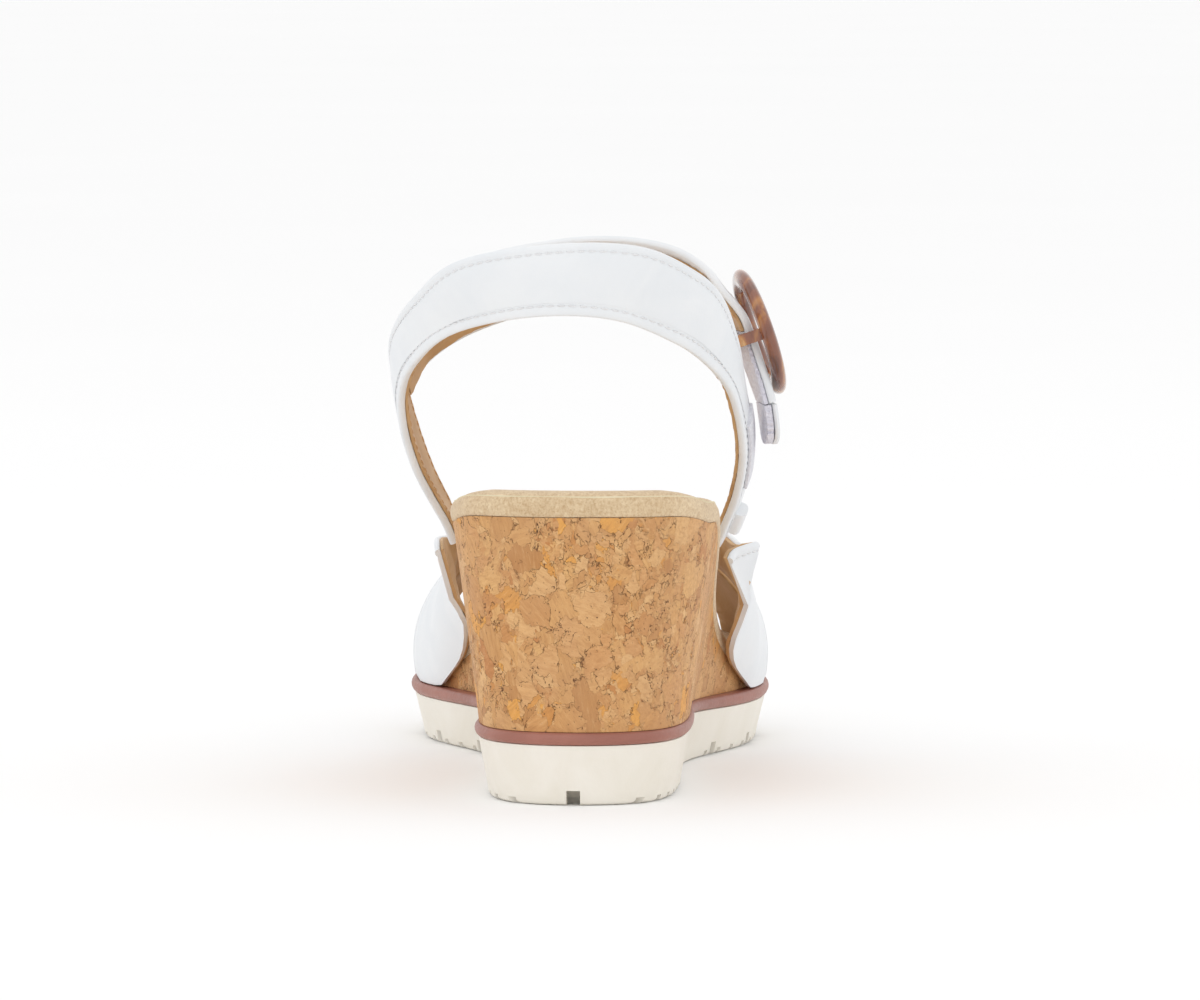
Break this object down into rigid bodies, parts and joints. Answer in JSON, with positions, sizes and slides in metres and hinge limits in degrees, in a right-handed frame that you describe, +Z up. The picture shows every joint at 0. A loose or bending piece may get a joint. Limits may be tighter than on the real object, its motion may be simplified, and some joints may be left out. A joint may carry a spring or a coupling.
{
  "type": "wedge sandal",
  "caption": "Right-foot wedge sandal with cork-covered wedge, open toe, ankle strap and a closing strap over the instep run through a ring, ending in a hook-and-loop tab.",
  "frame": {"origin": "on the ground under the sole, half-way along it, on the heel's centre line", "axes": "+Y towards the toe, +X towards the outer side of the foot, +Z up"},
  "size_m": [0.1041, 0.2507, 0.1379],
  "materials": {
    "outsole_rubber": "matt moulded",
    "welt_rubber": "satin",
    "cork": "agglomerated cork, waxed",
    "steel": "plain",
    "board": "fibre board",
    "foam": "soft foam",
    "suede": "suede",
    "white_leather": "smooth",
    "tan_lining": "lining leather",
    "interlining": "felt",
    "loop_tape": "brushed loops",
    "hook_tape": "hooks",
    "tortoiseshell": "polished"
  },
  "bodies": {
    "root": {"outsole": "outsole_rubber", "welt_band": "welt_rubber", "cork_wrap": "cork", "wedge_core": "cork", "steel_shank": "steel", "shank_rivets": "steel", "insole_board": "board", "footbed_foam": "foam", "heel_cushion": "foam", "suede_footbed_cover": "suede", "vamp_outer": "white_leather", "toe_band_outer": "white_leather", "ankle_strap_outer": "white_leather", "side_keeper": "white_leather", "vamp_lining": "tan_lining", "toe_band_lining": "tan_lining", "ankle_strap_lining": "tan_lining", "ankle_strap_padding": "interlining", "quarter_hook_patch": "hook_tape"},
    "instep_strap": {"instep_strap_outer": "white_leather", "instep_strap_padding": "interlining", "instep_strap_lining": "tan_lining", "instep_loop_tape": "loop_tape"},
    "ring": {"ring_buckle": "tortoiseshell"},
    "closing_tab": {"closing_tab_outer": "white_leather", "closing_tab_loop": "loop_tape"}
  },
  "joints": [
    {"name": "strap_lift", "type": "hinge", "parent": "root", "child": "instep_strap", "pos_m": [-0.0501, -0.037, 0.10166], "axis": [-0.0445, -0.801, 0.597], "range_deg": [0, 95]},
    {"name": "tab_peel", "type": "hinge", "parent": "instep_strap", "child": "closing_tab", "pos_m": [0.0447, -0.037, 0.0945], "axis": [0.1861, -0.9825, 0], "range_deg": [-5, 70]},
    {"name": "ring_slide", "type": "slide", "parent": "instep_strap", "child": "ring", "axis": [0.3205, 0.0153, -0.9471], "range_m": [-0.004, 0]}
  ]
}
